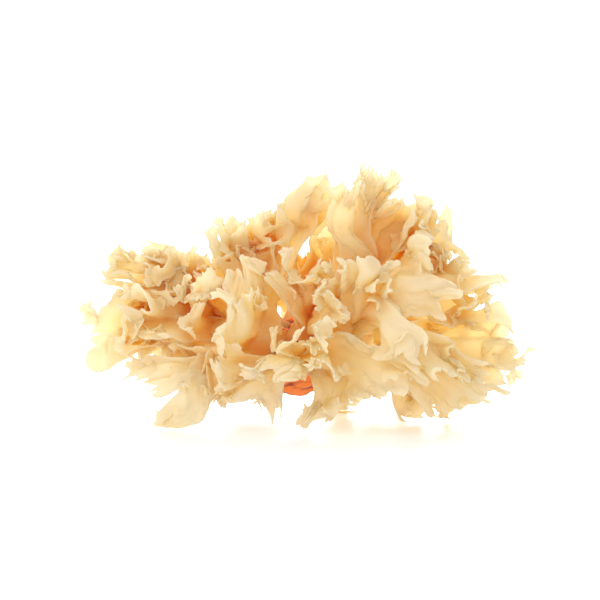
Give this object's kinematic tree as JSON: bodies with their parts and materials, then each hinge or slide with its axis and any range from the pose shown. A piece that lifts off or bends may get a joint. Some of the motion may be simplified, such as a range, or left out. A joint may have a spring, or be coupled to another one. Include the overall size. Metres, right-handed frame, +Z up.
{
  "type": "dried snow fungus",
  "caption": "Dried snow fungus head: thin, frilled, translucent cream fronds that fork from one tough orange-brown base, resting on its frond tips.",
  "frame": {"origin": "on the resting surface, under the middle of the head's box", "axes": "+Z up, +X to the right along the head's longest extent, -Y towards the viewer of the picture"},
  "size_m": [0.1082, 0.0675, 0.0671],
  "materials": {
    "frond": "dry, thin and translucent, with a soft satin sheen",
    "base": "tough, dark orange-brown, slightly waxy"
  },
  "bodies": {
    "root": {"base": "base", "left_arm": "frond", "left_foot": "frond", "hood": "frond", "front_frills": "frond", "front_foot": "frond", "front_right": "frond", "centre": "frond", "top_left": "frond", "top": "frond", "upper_right": "frond", "right_front": "frond", "right_low": "frond", "back_left": "frond", "back_right": "frond", "back_top": "frond"}
  },
  "joints": []
}
